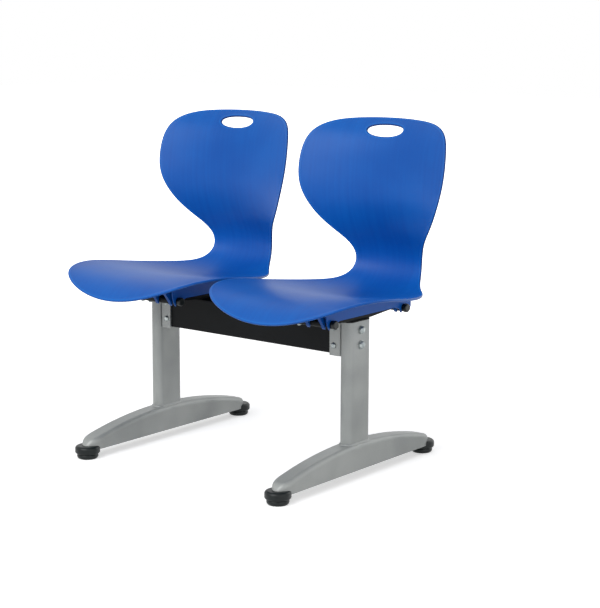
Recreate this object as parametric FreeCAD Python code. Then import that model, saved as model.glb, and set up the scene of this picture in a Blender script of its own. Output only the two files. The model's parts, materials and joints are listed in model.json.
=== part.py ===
import FreeCAD, Part
import math
import os

vec = FreeCAD.Vector
flat = FreeCAD.Base.Vector2d

# Driving dimensions in millimetres. X runs along the beam, Y to the back, Z up from the floor.
seat_pitch = 450.0
leg_outset = 65.0
glide_spacing = 548.0
glide_travel = 8.0
beam_top_z = 364.0
tube_rise = 11.0
tube_spacing = 270.0

# Shell
shell_thickness = 6.0
rim_radius = 2.6
bowl_reference = 215.0
surface_half_width = 240.0
hole_half_width = 50.0
hole_half_height = 16.6
hole_below_top = 40.0
# Centre line of the seat and back: depth, height above the beam, rise towards the side edges.
profile = [
    (-277, 3, 2), (-269, 20, 2), (-232, 52, 6), (-165, 66, 9), (-60, 58, 12), (50, 38.5, 22),
    (125, 31.5, 36), (185, 44, 48), (221, 79, 57), (224, 119, 62), (197, 177, 63),
    (174.5, 244, 55), (173, 321, 45), (190, 398, 34), (224, 436.5, 26), (240, 448, 24)]
# Half outline of the opened-out shell: way along the centre line, half width.
outline = [
    (0, 0), (22, 112), (70, 182), (150, 214), (250, 214.5), (345, 194), (430, 149), (500, 103),
    (550, 95), (600, 112), (660, 156), (730, 198), (790, 205), (845, 189), (876, 153),
    (900, 82), (908, 0)]

# Cross tubes and end caps
tube_radius = 9.0
tube_wall = 2.0
tube_overhang = 16.0
cap_overhang = 1.0
cap_length = 8.0
cap_plug_length = 16.0

# Underside of the shell
skirt_thickness = 3.5
rib_thickness = 3.0
rib_clearance = 16.5
hook_wall = 4.3
hook_width = 8.0
hook_mouth = 15.2
finger_gap = 5.0
finger_reach = 26.0
zigzag_count = 8
boss_place = 12.0
boss_radius = 6.0
pilot_depth = 28.0
screw_radius = 2.5
screw_head_radius = 4.5

# Arms that carry the tubes
arm_width = 24.0
arm_plate = 3.0
arm_foot_half_length = 44.0
arm_bolt_y = 17.0
arm_bolt_length = 16.0

# Beam, brackets, columns
beam_height = 80.0
beam_depth = 60.0
beam_wall = 2.5
beam_corner = 4.0
column_width = 33.0
column_depth = 82.0
column_corner = 15.0
column_wall = 2.5
head_plate = 3.0
head_skirt = 14.0
bracket_plate = 4.0
bracket_flange = 30.0
bracket_drop = 3.0
side_bolt_rise = 17.0
front_bolt_rise = 20.0
front_bolt_inset = 18.5

# Fasteners: the large size holds the columns, the small size everything else
large_bolt_radius = 5.0
large_head_radius = 8.75
large_head_height = 5.5
large_nut_flats = 17.0
large_nut_height = 8.0
washer_radius = 10.0
washer_height = 2.0
small_bolt_radius = 4.0
small_head_radius = 7.0
small_head_height = 4.4
small_nut_flats = 13.0
small_nut_height = 6.5
nut_chamfer = 0.46

# Feet, toe caps and glides
foot_width = 50.0
foot_wall = 3.0
foot_height = 60.0
foot_nose_radius = 28.0
foot_nose_trim = 1.0
foot_overhang = 10.5
foot_taper_length = 42.0
foot_edge_radius = 11.0
toe_radius = 29.5
toe_floor = 8.5
toe_rim = 9.5
toe_top_rounding = 7.0
toe_base_rounding = 3.5
pad_radius = 25.0
pad_height = 12.0
pad_gap = 0.5
socket_floor = 5.0
disc_radius = 8.0
disc_height = 3.0
stem_radius = 5.0
stem_engagement = 7.0
collar_height = 4.0
collar_across_flats = 14.0

# Clearances
run_gap = 0.05
seat_gap = 0.2
free_gap = 0.3

# Sizes that follow from the ones above
leg_spacing = seat_pitch + 2 * leg_outset
tube_z = beam_top_z + tube_rise
tube_front_y = -tube_spacing / 2
tube_rear_y = tube_spacing / 2
arm_reach = arm_width / 2 + finger_gap + hook_width / 2
inner_finger_place = leg_outset - arm_reach
outer_finger_place = leg_outset + arm_reach
tube_half_length = outer_finger_place + hook_width / 2 + tube_overhang
skirt_half_width = tube_half_length - 4
skirt_front_y = tube_front_y - 19
skirt_rear_y = tube_rear_y + 29
hook_radius = tube_radius + hook_wall
rib_bottom_z = tube_z + rib_clearance
zigzag_front_y = tube_front_y + 25
zigzag_rear_y = tube_front_y + 69
arm_top_z = tube_z + tube_radius + 2
arm_tip_z = tube_z - tube_radius / 2
column_top_z = beam_top_z - head_plate
toe_base_z = pad_height + pad_gap
foot_base_z = toe_base_z + toe_floor
foot_crown_z = foot_base_z + foot_height
foot_end_y = glide_spacing / 2 + foot_overhang
foot_nose_y = foot_end_y + foot_nose_trim - foot_nose_radius
stem_top_z = foot_base_z + glide_travel + stem_engagement
seat_x = {"left": -seat_pitch / 2, "right": seat_pitch / 2}
leg_x = {"left": -leg_spacing / 2, "right": leg_spacing / 2}
side_sign = {"left": -1, "right": 1}
tube_y = {"front": tube_front_y, "rear": tube_rear_y}
glide_y = {"front": -glide_spacing / 2, "rear": glide_spacing / 2}
beam_mid_z = beam_top_z - beam_height / 2
column_inner = leg_spacing / 2 - column_width / 2
column_outer = leg_spacing / 2 + column_width / 2
axis_x = vec(1, 0, 0)
axis_y = vec(0, 1, 0)
axis_z = vec(0, 0, 1)


def block(x0, x1, y0, y1, z0, z1):
    return Part.makeBox(x1 - x0, y1 - y0, z1 - z0, vec(x0, y0, z0))


def rod(radius, start, axis, length):
    return Part.makeCylinder(radius, length, start, axis)


def plate_from_outline(points, x0, x1):
    """Plate between x0 and x1 whose side view is the closed outline of (y, z) points."""
    corners = [vec(x0, y, z) for y, z in points]
    wire = Part.makePolygon(corners + [corners[0]])
    return Part.Face(wire).extrude(vec(x1 - x0, 0, 0))


def rounded_bar(width, depth, corner, z0, z1):
    """Upright bar of rounded rectangular section, centred on the Z axis."""
    bar = block(-width / 2, width / 2, -depth / 2, depth / 2, z0, z1)
    upright = [e for e in bar.Edges if e.BoundBox.ZLength > 0.9 * (z1 - z0)]
    return bar.makeFillet(corner, upright)


def hexagon(across_flats, height, centre, axis):
    """Hexagonal prism starting at centre and growing along axis."""
    reach = across_flats / 2 / math.cos(math.pi / 6)
    turns = [i * math.pi / 3 for i in range(6)]
    corners = [vec(reach * math.cos(turn), reach * math.sin(turn), 0) for turn in turns]
    prism = Part.Face(Part.makePolygon(corners + [corners[0]])).extrude(vec(0, 0, height))
    prism.Placement = FreeCAD.Placement(centre, FreeCAD.Rotation(axis_z, axis))
    return prism


def nut(bolt_radius, across_flats, height, centre, axis):
    """Hexagonal nut from centre along axis; a cone turns off its outer corners."""
    body = hexagon(across_flats, height, centre, axis)
    top_radius = across_flats * nut_chamfer
    cone = Part.makeCone(top_radius + height * math.sqrt(3), top_radius, height)
    cone.Placement = FreeCAD.Placement(centre, FreeCAD.Rotation(axis_z, axis))
    return body.common(cone).cut(rod(bolt_radius + run_gap, centre - axis, axis, height + 2))


def cup_bolt(bolt_radius, head_radius, head_height, length, centre, axis):
    """Bolt whose domed head rises from centre along axis; the shank runs the other way."""
    flat_radius = head_radius * 0.42
    middle = head_radius * 0.79
    low = head_height * 0.15
    points = [vec(head_radius, 0, low), vec(middle, 0, head_height * 0.73), vec(flat_radius, 0, head_height)]
    base = vec(head_radius, 0, 0)
    top = vec(0, 0, head_height)
    edges = [Part.makeLine(vec(0, 0, 0), base), Part.makeLine(base, points[0]), Part.Arc(*points).toShape(),
             Part.makeLine(points[2], top), Part.makeLine(top, vec(0, 0, 0))]
    body = Part.Face(Part.Wire(edges)).revolve(vec(0, 0, 0), axis_z, 360)
    body = body.fuse(rod(bolt_radius, vec(0, 0, 0), axis_z * -1, length))
    tip = [e for e in body.Edges if abs(e.BoundBox.ZMax + length) < 0.01]
    body = body.makeChamfer(bolt_radius * 0.16, tip)
    body.Placement = FreeCAD.Placement(centre, FreeCAD.Rotation(axis_z, axis))
    return body


def shell_surfaces():
    """Upper and lower skin surfaces, and where the outline starts and ends along them.

    The profile is the centre line; across it the surface rises with the width squared.
    The lower surface is the upper one moved by the thickness square to the centre line.
    """
    points = [vec(0, y, beam_top_z + z) for y, z, rise in profile]
    way = [0.0]
    for a, b in zip(points, points[1:]):
        way.append(way[-1] + (b - a).Length)
    centre = Part.BSplineCurve()
    centre.interpolate(Points=points, Parameters=way)
    rises = []
    normals = []
    for u, (y, z, rise) in zip(way, profile):
        along = centre.tangent(u)[0]
        normals.append(vec(0, -along.z, along.y))
        rises.append(normals[-1] * rise)
    lift = Part.BSplineCurve()
    lift.interpolate(Points=rises, Parameters=way)
    square = Part.BSplineCurve()
    square.interpolate(Points=normals, Parameters=way)
    half = surface_half_width
    share = (half / bowl_reference) ** 2
    surfaces = []
    for drop in (0, shell_thickness):
        poles = []
        for c, r, n in zip(centre.getPoles(), lift.getPoles(), square.getPoles()):
            base = c - n * drop
            side_pole = base + r * share
            poles.append([side_pole - axis_x * half, base - r * share, side_pole + axis_x * half])
        surface = Part.BSplineSurface()
        surface.buildFromPolesMultsKnots(
            poles, centre.getMultiplicities(), [3, 3], centre.getKnots(), [-half, half], False, False, 3, 2)
        surfaces.append(surface)
    return surfaces, way[1], way[-2]


def edge_on_surface(surface, half_points):
    """Closed smooth edge on the surface through half_points and their mirror images."""
    mirrored = [(s, -x) for s, x in half_points[-2:0:-1]]
    curve = Part.Geom2d.BSplineCurve2d()
    curve.interpolate(Points=[flat(s, x) for s, x in half_points + mirrored], PeriodicFlag=True)
    return curve.toShape(surface)


def hand_hole_outline(middle):
    """Half outline of the hand hole, an ellipse with slightly squared ends."""
    points = []
    for turn in (-90, -65, -40, -20, 0, 20, 40, 65, 90):
        up = math.sin(math.radians(turn))
        out = max(math.cos(math.radians(turn)), 0)
        swell = (abs(up) ** 2.1 + out ** 2.1) ** (-1 / 2.1)
        points.append((middle + hole_half_height * up * swell, hole_half_width * out * swell))
    points[0] = (middle - hole_half_height, 0)
    points[-1] = (middle + hole_half_height, 0)
    return points


def shell_skin():
    """Seat and back in one curved skin with a hand hole."""
    surfaces, start, end = shell_surfaces()
    stretch = (end - start) / outline[-1][0]
    rim_points = [(start + s * stretch, x) for s, x in outline]
    hole_points = hand_hole_outline(end - hole_below_top)
    rims = []
    holes = []
    faces = []
    for surface in surfaces:
        rim = edge_on_surface(surface, rim_points)
        hole = edge_on_surface(surface, hole_points)
        pieces = surface.toShape().generalFuse([Part.Wire([rim]), Part.Wire([hole])])[0].Faces
        inside = [f for f in pieces if len(f.Wires) == 2 and abs(abs(f.Area) - 314000) < 20000]
        faces.append(inside[0])
        rims.append(rim)
        holes.append(hole)
    faces.append(Part.makeRuledSurface(rims[0], rims[1]))
    faces.append(Part.makeRuledSurface(holes[0], holes[1]))
    hull = Part.makeShell(faces)
    hull.sewShape()
    return Part.makeSolid(hull)


def height_inside(surface, x, y):
    """Height of the middle of the skin's thickness above the point (x, y) of the seat."""
    low = 60.0
    high = 520.0
    for step in range(24):
        middle = (low + high) / 2
        if surface.value(middle, x).y < y:
            low = middle
        else:
            high = middle
    return surface.value(low, x).z - shell_thickness / 2


def wall(surface, start, end, thickness, lower_edge):
    """Upright wall between two plan points; its top follows the skin, its foot is lower_edge.

    lower_edge lists (way along the wall, height) points from start to end.
    """
    run = end - start
    along = vec(run.x, run.y, 0)
    length = along.Length
    along.normalize()
    across = vec(along.y, -along.x, 0) * (thickness / 2)
    steps = max(1, round(length / 55))
    corners = [start + along * way + vec(0, 0, z) - across for way, z in lower_edge]
    for i in range(steps, -1, -1):
        spot = start + run * (i / steps)
        corners.append(vec(spot.x, spot.y, height_inside(surface, spot.x, spot.y)) - across)
    return Part.Face(Part.makePolygon(corners + [corners[0]])).extrude(across * 2)


def gripped(body, x0, x1):
    """Body with collars for both tubes added and the tubes and their snap mouths cut out."""
    for y in tube_y.values():
        body = body.fuse(rod(hook_radius, vec(x0, y, tube_z), axis_x, x1 - x0))
    for y in tube_y.values():
        body = body.cut(rod(tube_radius + seat_gap, vec(x0 - 1, y, tube_z), axis_x, x1 - x0 + 2))
        body = body.cut(block(x0 - 1, x1 + 1, y - hook_mouth / 2, y + hook_mouth / 2, tube_z - 20, tube_z))
    return body


def skirt(surface, side):
    """Side wall of the clip box; its lower edge arches up between the tubes."""
    x = side * (skirt_half_width - skirt_thickness / 2)
    front = skirt_front_y
    arch = tube_z + 4.5
    lower = [(front, tube_z + 16), (front + 4, tube_z - 2), (tube_front_y + hook_radius, tube_z),
             (tube_front_y + 28, arch), (tube_rear_y - 34, arch),
             (tube_rear_y - hook_radius, tube_z - 2), (tube_rear_y + hook_radius * 0.7, tube_z - 11),
             (skirt_rear_y - 4, tube_z - 9), (skirt_rear_y, tube_z + 2)]
    body = wall(surface, vec(x, front, 0), vec(x, skirt_rear_y, 0), skirt_thickness,
                [(y - front, z) for y, z in lower])
    return gripped(body, x - skirt_thickness / 2, x + skirt_thickness / 2)


def clip_finger(surface, x):
    """Inner rib with a hook on each tube and a slanting gusset in front of the front hook."""
    front = skirt_front_y - finger_reach
    lower = [(front, tube_z + 38), (tube_front_y - hook_radius * 0.9, tube_z - 4),
             (tube_front_y + hook_radius, tube_z), (tube_front_y + 20, rib_bottom_z),
             (tube_rear_y - 22, rib_bottom_z), (tube_rear_y - hook_radius, tube_z),
             (tube_rear_y + hook_radius, tube_z), (tube_rear_y + hook_radius + 4, rib_bottom_z - 6)]
    body = wall(surface, vec(x, front, 0), vec(x, tube_rear_y + hook_radius + 4, 0), hook_width,
                [(y - front, z) for y, z in lower])
    return gripped(body, x - hook_width / 2, x + hook_width / 2)


def clip_box(surface):
    """Ribbed box under the seat that grips both tubes."""
    reach = skirt_half_width - skirt_thickness / 2
    parts = [skirt(surface, -1), skirt(surface, 1)]
    for x in (inner_finger_place, outer_finger_place):
        parts.append(clip_finger(surface, -x))
        parts.append(clip_finger(surface, x))
    for y, bottom in ((zigzag_front_y, rib_bottom_z), (zigzag_rear_y, rib_bottom_z),
                      (skirt_rear_y - rib_thickness / 2, tube_z + 4)):
        parts.append(wall(surface, vec(-reach, y, 0), vec(reach, y, 0), rib_thickness,
                          [(0, bottom), (2 * reach, bottom)]))
    step = 2 * reach / zigzag_count
    for i in range(zigzag_count):
        y0, y1 = (zigzag_front_y, zigzag_rear_y) if i % 2 == 0 else (zigzag_rear_y, zigzag_front_y)
        start = vec(-reach + step * i, y0, 0)
        end = vec(-reach + step * (i + 1), y1, 0)
        parts.append(wall(surface, start, end, rib_thickness,
                          [(0, rib_bottom_z), ((end - start).Length, rib_bottom_z)]))
    foot = tube_z + tube_radius + free_gap
    for side in (-1, 1):
        x = side * boss_place
        top = height_inside(surface, x, tube_front_y)
        parts.append(rod(boss_radius, vec(x, tube_front_y, foot), axis_z, top - foot))
        parts.append(wall(surface, vec(x, tube_front_y, 0), vec(x, zigzag_front_y, 0), rib_thickness,
                          [(0, rib_bottom_z), (zigzag_front_y - tube_front_y, rib_bottom_z)]))
    box = parts[0].multiFuse(parts[1:])
    for side in (-1, 1):
        pilot = rod(screw_radius + run_gap, vec(side * boss_place, tube_front_y, tube_z), axis_z,
                    tube_radius + pilot_depth)
        box = box.cut(pilot)
    return box


def seat_shell():
    """One-piece seat and back with its ribbed clip box underneath and all its free edges rounded."""
    surface = shell_surfaces()[0][0]
    shell = shell_skin().fuse(clip_box(surface))
    rims = [e for e in shell.Edges if e.Length > 2000]
    rims += [e for e in shell.Edges if 200 < e.Length < 240 and e.BoundBox.ZMin > beam_top_z + 300]
    return shell.makeFillet(rim_radius, rims)


def cross_tube(x, place):
    y = tube_y[place]
    start = vec(x - tube_half_length, y, tube_z)
    tube = rod(tube_radius, start, axis_x, 2 * tube_half_length)
    tube = tube.cut(rod(tube_radius - tube_wall, start - axis_x, axis_x, 2 * tube_half_length + 2))
    if place == "front":
        for side in (-1, 1):
            through = vec(x + side * boss_place, y, tube_z - 2 * tube_radius)
            tube = tube.cut(rod(screw_radius + free_gap, through, axis_z, 4 * tube_radius))
    return tube


def tube_cap(x, place, side):
    """Plastic end cap: rounded head and a plug with three sealing rings inside the tube."""
    way = side_sign[side]
    start = vec(x + way * tube_half_length, tube_y[place], tube_z)
    axis = axis_x * way
    head = rod(tube_radius + cap_overhang, start, axis, cap_length)
    outer_rim = [e for e in head.Edges if abs(abs(e.BoundBox.Center.x - start.x) - cap_length) < 0.01
                 and e.BoundBox.YLength > 1]
    head = head.makeFillet(3.0, outer_rim)
    bore = tube_radius - tube_wall
    plug = rod(bore - 0.8, start, axis * -1, cap_plug_length)
    cap = head.fuse(plug)
    for i in range(3):
        ring_start = start - axis * (3 + 5 * i)
        cap = cap.fuse(rod(bore - seat_gap, ring_start, axis * -1, 1.5))
    cap = cap.cut(rod(bore - 3.0, start - axis * (cap_plug_length + 1), axis, cap_plug_length - 2))
    return cap


def seat_arm(x, side):
    """Folded steel channel: foot plate on the beam or column head, two cheeks up to the tubes."""
    middle = x + side_sign[side] * leg_outset
    half = arm_width / 2
    cheek = [
        (-arm_foot_half_length, beam_top_z), (arm_foot_half_length, beam_top_z),
        (tube_rear_y - 12, arm_tip_z), (tube_rear_y, arm_tip_z), (tube_rear_y, tube_z + 6),
        (tube_rear_y - 12, arm_top_z), (tube_front_y + 12, arm_top_z), (tube_front_y, tube_z + 6),
        (tube_front_y, arm_tip_z), (tube_front_y + 12, arm_tip_z)]
    arm = plate_from_outline(cheek, middle - half, middle - half + arm_plate)
    arm = arm.fuse(plate_from_outline(cheek, middle + half - arm_plate, middle + half))
    arm = arm.fuse(block(middle - half, middle + half, -arm_foot_half_length, arm_foot_half_length,
                         beam_top_z, beam_top_z + arm_plate))
    for y in tube_y.values():
        arm = arm.cut(rod(tube_radius + seat_gap, vec(middle - arm_width, y, tube_z), axis_x, 2 * arm_width))
    for y in (-arm_bolt_y, arm_bolt_y):
        arm = arm.cut(rod(small_bolt_radius + free_gap, vec(middle, y, beam_top_z - 5), axis_z, 20))
    return arm.removeSplitter()


def arm_bolts(x):
    bolts = []
    for side in (-1, 1):
        for y in (-arm_bolt_y, arm_bolt_y):
            seat = vec(x + side * leg_outset, y, beam_top_z + arm_plate)
            bolts.append(cup_bolt(small_bolt_radius, small_head_radius, small_head_height, arm_bolt_length,
                                     seat, axis_z))
    return Part.makeCompound(bolts)


def arm_nuts(side):
    """Nuts of one seat's arms: the inner pair inside the beam, the outer pair in the column head."""
    nuts = []
    for way in (-1, 1):
        plate = head_plate if way == side_sign[side] else beam_wall
        for y in (-arm_bolt_y, arm_bolt_y):
            seat = vec(seat_x[side] + way * leg_outset, y, beam_top_z - plate)
            nuts.append(nut(small_bolt_radius, small_nut_flats, small_nut_height, seat, axis_z * -1))
    return Part.makeCompound(nuts)


def shell_screws(x):
    screws = []
    for side in (-1, 1):
        seat = vec(x + side * boss_place, tube_front_y, tube_z - tube_radius)
        head = rod(screw_head_radius, seat, axis_z * -1, 2.6)
        rim = [e for e in head.Edges if e.BoundBox.ZMax < seat.z - 2 and e.BoundBox.XLength > 1]
        head = head.makeFillet(1.8, rim)
        shank = rod(screw_radius, seat, axis_z, 2 * tube_radius + 26)
        screws.append(head.fuse(shank))
    return Part.makeCompound(screws)


def side_bolt_heights():
    return (beam_mid_z - side_bolt_rise, beam_mid_z + side_bolt_rise)


def front_bolt_heights():
    return (beam_mid_z - front_bolt_rise, beam_mid_z + front_bolt_rise)


def beam():
    """Rectangular steel tube along X with holes for the arm bolts and the bracket bolts."""
    length = 2 * (column_inner - bracket_plate - free_gap)
    base = beam_top_z - beam_height
    bar = block(-length / 2, length / 2, -beam_depth / 2, beam_depth / 2, base, beam_top_z)
    long_edges = [e for e in bar.Edges if e.BoundBox.XLength > 0.9 * length]
    bar = bar.makeFillet(beam_corner, long_edges)
    wall = beam_wall
    inside = block(-length / 2 - 1, length / 2 + 1, wall - beam_depth / 2, beam_depth / 2 - wall,
                   base + wall, beam_top_z - wall)
    long_edges = [e for e in inside.Edges if e.BoundBox.XLength > 0.9 * length]
    bar = bar.cut(inside.makeFillet(beam_corner - wall, long_edges))
    for way in (-1, 1):
        for y in (-arm_bolt_y, arm_bolt_y):
            start = vec(way * (seat_pitch / 2 - leg_outset), y, beam_top_z - 10)
            bar = bar.cut(rod(small_bolt_radius + free_gap, start, axis_z, 20))
        for z in front_bolt_heights():
            start = vec(way * (column_inner - front_bolt_inset), -beam_depth, z)
            bar = bar.cut(rod(small_bolt_radius + free_gap, start, axis_y, 2 * beam_depth))
    return bar


def beam_bracket(side):
    """U-shaped plate: web on the column's inner face, one flange on each face of the beam."""
    way = side_sign[side]
    inside = beam_depth / 2 + seat_gap
    outside = inside + bracket_plate
    low = beam_top_z - beam_height - bracket_drop
    high = column_top_z
    x_face = way * column_inner
    x_tip = way * (column_inner - bracket_flange)
    x_web = way * (column_inner - bracket_plate)
    body = block(min(x_face, x_tip), max(x_face, x_tip), -outside, outside, low, high)
    bends = [e for e in body.Edges if e.BoundBox.ZLength > 50 and abs(e.BoundBox.XMax - x_face) < 0.01]
    body = body.makeFillet(4.5, bends)
    x_far = way * (column_inner - 2 * bracket_flange)
    body = body.cut(block(min(x_web, x_far), max(x_web, x_far), -inside, inside, low - 1, high + 1))
    for z in front_bolt_heights():
        start = vec(way * (column_inner - front_bolt_inset), -beam_depth, z)
        body = body.cut(rod(small_bolt_radius + free_gap, start, axis_y, 2 * beam_depth))
    for z in side_bolt_heights():
        start = vec(way * (column_inner - 20), 0, z)
        body = body.cut(rod(large_bolt_radius + free_gap, start, axis_x * way, 40))
    return body


def beam_bolts(side):
    bolts = []
    face = beam_depth / 2 + seat_gap + bracket_plate
    length = 2 * face + small_nut_height + 2
    for z in front_bolt_heights():
        seat = vec(side_sign[side] * (column_inner - front_bolt_inset), -face, z)
        bolts.append(cup_bolt(small_bolt_radius, small_head_radius, small_head_height, length, seat,
                                 axis_y * -1))
    return Part.makeCompound(bolts)


def beam_nuts(side):
    nuts = []
    face = beam_depth / 2 + seat_gap + bracket_plate
    for z in front_bolt_heights():
        seat = vec(side_sign[side] * (column_inner - front_bolt_inset), face, z)
        nuts.append(nut(small_bolt_radius, small_nut_flats, small_nut_height, seat, axis_y))
    return Part.makeCompound(nuts)


def column_bolts(side):
    way = axis_x * side_sign[side]
    length = washer_height + column_width + bracket_plate + large_nut_height + 2
    bolts = []
    for z in side_bolt_heights():
        seat = vec(side_sign[side] * column_outer, 0, z) + way * washer_height
        bolts.append(cup_bolt(large_bolt_radius, large_head_radius, large_head_height, length, seat, way))
    return Part.makeCompound(bolts)


def column_washers(side):
    way = axis_x * side_sign[side]
    washers = []
    for z in side_bolt_heights():
        seat = vec(side_sign[side] * column_outer, 0, z)
        ring = rod(washer_radius, seat, way, washer_height)
        washers.append(ring.cut(rod(large_bolt_radius + free_gap, seat - way, way, washer_height + 2)))
    return Part.makeCompound(washers)


def column_nuts(side):
    way = axis_x * side_sign[side]
    nuts = []
    for z in side_bolt_heights():
        seat = vec(side_sign[side] * (column_inner - bracket_plate), 0, z)
        nuts.append(nut(large_bolt_radius, large_nut_flats, large_nut_height, seat, way * -1))
    return Part.makeCompound(nuts)


def column(side):
    base = foot_base_z + foot_wall
    bar = rounded_bar(column_width, column_depth, column_corner, base, column_top_z)
    inside = rounded_bar(column_width - 2 * column_wall, column_depth - 2 * column_wall,
                         column_corner - column_wall, base - 1, column_top_z + 1)
    tube = bar.cut(inside)
    for z in side_bolt_heights():
        start = vec(-column_width, 0, z)
        tube = tube.cut(rod(large_bolt_radius + free_gap, start, axis_x, 2 * column_width))
    tube.translate(vec(leg_x[side], 0, 0))
    return tube


def column_head(side):
    """Steel cap on the column's end: plate under the arm's foot, hollow skirt inside the column."""
    plate = rounded_bar(column_width, column_depth, column_corner, column_top_z, beam_top_z)
    rim = [e for e in plate.Edges if abs(e.BoundBox.ZMin - beam_top_z) < 0.01]
    plate = plate.makeFillet(head_plate / 3, rim)
    outer = column_wall + seat_gap
    inner = outer + 2
    low = column_top_z - head_skirt
    skirt = rounded_bar(column_width - 2 * outer, column_depth - 2 * outer, column_corner - outer,
                        low, column_top_z + 1)
    hollow = rounded_bar(column_width - 2 * inner, column_depth - 2 * inner, column_corner - inner,
                         low - 1, column_top_z)
    head = plate.fuse(skirt).cut(hollow)
    for z in side_bolt_heights():
        head = head.cut(rod(large_bolt_radius + 3, vec(-column_width, 0, z), axis_x, 2 * column_width))
    for y in (-arm_bolt_y, arm_bolt_y):
        head = head.cut(rod(small_bolt_radius + free_gap, vec(0, y, low), axis_z, 2 * head_skirt))
    head.translate(vec(leg_x[side], 0, 0))
    return head


def foot_side_view(shrink, x0, x1):
    """Arched side view: flat base, long crown arc, round noses; shrink sets it in all round.

    The noses reach past the plan's tapered ends, so each end keeps a low upright wall.
    """
    nose = foot_nose_radius
    low = foot_base_z - foot_crown_z
    crown = (foot_nose_y ** 2 + low ** 2 - nose ** 2) / (2 * (-low - nose))
    centre_z = foot_crown_z - crown
    lean = math.atan2(foot_nose_y, foot_base_z - centre_z)
    nose_r = nose - shrink
    crown_r = crown - shrink
    base = foot_base_z if shrink == 0 else foot_base_z - 5

    def on_nose(angle):
        return vec(x0, foot_nose_y + nose_r * math.cos(angle), foot_base_z + nose_r * math.sin(angle))

    def flip(point):
        return vec(point.x, -point.y, point.z)

    join = on_nose(math.pi / 2 - lean)
    bend = on_nose(math.pi / 4 - lean / 2)
    tip = on_nose(0)
    top = vec(x0, 0, centre_z + crown_r)
    edges = [Part.Arc(tip, bend, join).toShape(), Part.Arc(join, top, flip(join)).toShape(),
             Part.Arc(flip(join), flip(bend), flip(tip)).toShape()]
    if shrink > 0:
        low_tip = vec(x0, tip.y, base)
        edges.append(Part.makeLine(flip(tip), flip(low_tip)))
        edges.append(Part.makeLine(flip(low_tip), low_tip))
        edges.append(Part.makeLine(low_tip, tip))
    else:
        edges.append(Part.makeLine(flip(tip), tip))
    return Part.Face(Part.Wire(edges)).extrude(vec(x1 - x0, 0, 0))


def foot_plan_view(growth, z0, z1):
    """Long bar with half-elliptical ends, standing between z0 and z1; growth widens it all round."""
    half = foot_width / 2 + growth
    taper = foot_taper_length + growth
    reach = foot_end_y - foot_taper_length
    bar = block(-half, half, -reach, reach, z0, z1)
    for way in (-1, 1):
        oval = Part.Ellipse(vec(0, taper, 0), vec(half, 0, 0), vec(0, 0, 0))
        end = Part.Face(Part.Wire([oval.toShape()])).extrude(vec(0, 0, z1 - z0))
        end.translate(vec(0, way * reach, z0))
        bar = bar.fuse(end)
    return bar.removeSplitter()


def foot_body(shrink):
    half = foot_width / 2 - shrink
    body = foot_side_view(shrink, -half, half)
    body = body.common(foot_plan_view(-shrink, foot_base_z - 10, foot_crown_z + 10))
    upper = [e for e in body.Edges if e.BoundBox.ZMax > foot_base_z + 20 and e.BoundBox.XLength < half * 0.5
             and e.BoundBox.YLength > 100]
    return body.makeFillet(foot_edge_radius - shrink, upper)


def foot(side):
    """Pressed steel foot, open below, with a slot for the column and a threaded boss at each end."""
    body = foot_body(0)
    hollow = foot_body(foot_wall)
    shell = body.cut(hollow)
    extras = []
    for way in (-1, 1):
        y = way * (column_depth / 2 + seat_gap + free_gap + foot_wall / 2)
        extras.append(block(-foot_width / 2 + 1, foot_width / 2 - 1, y - foot_wall / 2, y + foot_wall / 2,
                            foot_base_z, foot_crown_z - 2))
    for y in glide_y.values():
        extras.append(rod(9.0, vec(0, y, foot_base_z), axis_z, 40))
    inner = extras[0].multiFuse(extras[1:]).common(body)
    shell = shell.fuse(inner)
    slot = rounded_bar(column_width + 2 * seat_gap, column_depth + 2 * seat_gap, column_corner + seat_gap,
                       foot_base_z + foot_wall, foot_crown_z + 5)
    shell = shell.cut(slot)
    for y in glide_y.values():
        shell = shell.cut(rod(stem_radius + run_gap, vec(0, y, 0), axis_z, stem_top_z + 1))
    shell.translate(vec(leg_x[side], 0, 0))
    return shell


def toe_cap(side, place):
    """Black cup round the foot's nose, with a recess below that hides the glide's collar."""
    middle = glide_y["rear"]
    top = foot_base_z + toe_rim
    body = rod(toe_radius, vec(0, middle, toe_base_z), axis_z, top - toe_base_z)
    for z, rounding in ((top, toe_top_rounding), (toe_base_z, toe_base_rounding)):
        rim = [e for e in body.Edges if abs(e.BoundBox.ZMax - z) < 0.01 and e.BoundBox.ZLength < 0.01]
        body = body.makeFillet(rounding, rim)
    floor = foot_base_z - seat_gap
    body = body.cut(foot_plan_view(free_gap, floor, floor + 40))
    body = body.cut(rod(stem_radius + free_gap, vec(0, middle, 0), axis_z, 40))
    recess = collar_across_flats / 2 + 3
    body = body.cut(rod(recess, vec(0, middle, toe_base_z - 1), axis_z, collar_height + 1.8))
    if place == "front":
        body.rotate(vec(0, 0, 0), axis_z, 180)
    body.translate(vec(leg_x[side], 0, 0))
    return body


def glide_pad(side, place):
    """Round foot of the levelling glide, bulged round its edge, with a socket for the stem."""
    r = pad_radius
    h = pad_height
    start = vec(0, 0, 0)
    points = [vec(r - 3, 0, 0), vec(r, 0, h * 0.38), vec(r - 2, 0, h)]
    edges = [Part.makeLine(start, points[0]), Part.Arc(*points).toShape(),
             Part.makeLine(points[2], vec(0, 0, h)), Part.makeLine(vec(0, 0, h), start)]
    pad = Part.Face(Part.Wire(edges)).revolve(start, axis_z, 360)
    pad = pad.cut(rod(stem_radius + run_gap, vec(0, 0, socket_floor), axis_z, h))
    pad = pad.cut(rod(disc_radius + run_gap, vec(0, 0, socket_floor - run_gap), axis_z,
                      disc_height + 2 * run_gap))
    pad.translate(vec(leg_x[side], glide_y[place], 0))
    return pad


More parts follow.
